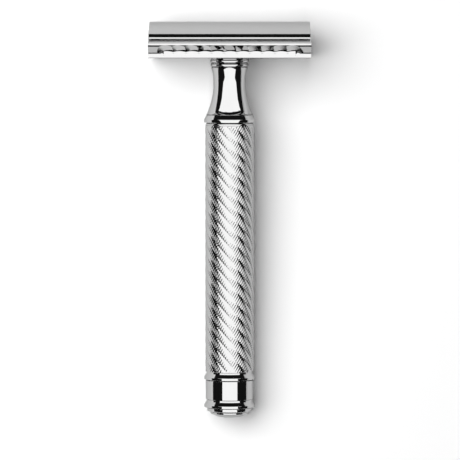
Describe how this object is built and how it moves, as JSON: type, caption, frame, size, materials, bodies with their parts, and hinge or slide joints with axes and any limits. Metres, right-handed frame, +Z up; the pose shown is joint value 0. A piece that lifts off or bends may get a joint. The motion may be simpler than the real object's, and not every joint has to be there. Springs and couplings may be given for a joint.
{
  "type": "safety razor",
  "caption": "Double-edge safety razor with a domed cap, scalloped closed guard and spiral-knurled handle; turning the handle unscrews the head to free the blade.",
  "frame": {"origin": "the middle of the razor's footprint on the surface that it lies on", "axes": "+X along the head's length, +Y along the handle towards the head, +Z up off the surface"},
  "size_m": [0.0436, 0.1072, 0.0246],
  "materials": {
    "chrome": "bright polished chrome plate",
    "knurled_chrome": "chrome plate over fine spiral knurling",
    "steel": "plain turned steel",
    "blade_steel": "thin rolled steel with ground edges"
  },
  "bodies": {
    "guard": {"guard_plate": "chrome"},
    "handle": {"neck": "chrome", "shoulder_ring": "chrome", "grip_sleeve": "knurled_chrome", "tie_rod": "steel", "foot_collar": "chrome", "end_button": "chrome"},
    "cap_set": {"cap": "chrome", "cap_stud": "steel", "cap_pin_left": "chrome", "cap_pin_right": "chrome"},
    "blade_piece": {"blade": "blade_steel"}
  },
  "joints": [
    {"name": "handle_turn", "type": "hinge", "parent": "guard", "child": "handle", "pos_m": [0, 0.04357, 0.01206], "axis": [0, -0.9985, -0.0553], "range_deg": [0, 2880]},
    {"name": "cap_lift", "type": "slide", "parent": "guard", "child": "cap_set", "axis": [0, 0.9985, 0.0553], "range_m": [0, 0.0064]},
    {"name": "blade_lift", "type": "slide", "parent": "guard", "child": "blade_piece", "axis": [0, 0.9985, 0.0553], "range_m": [0, 0.0032]}
  ],
  "couplings": [
    {"joint": "cap_lift", "follows": "handle_turn", "m_per_rad": 0.00012732},
    {"joint": "blade_lift", "follows": "handle_turn", "m_per_rad": 0.00006366}
  ]
}
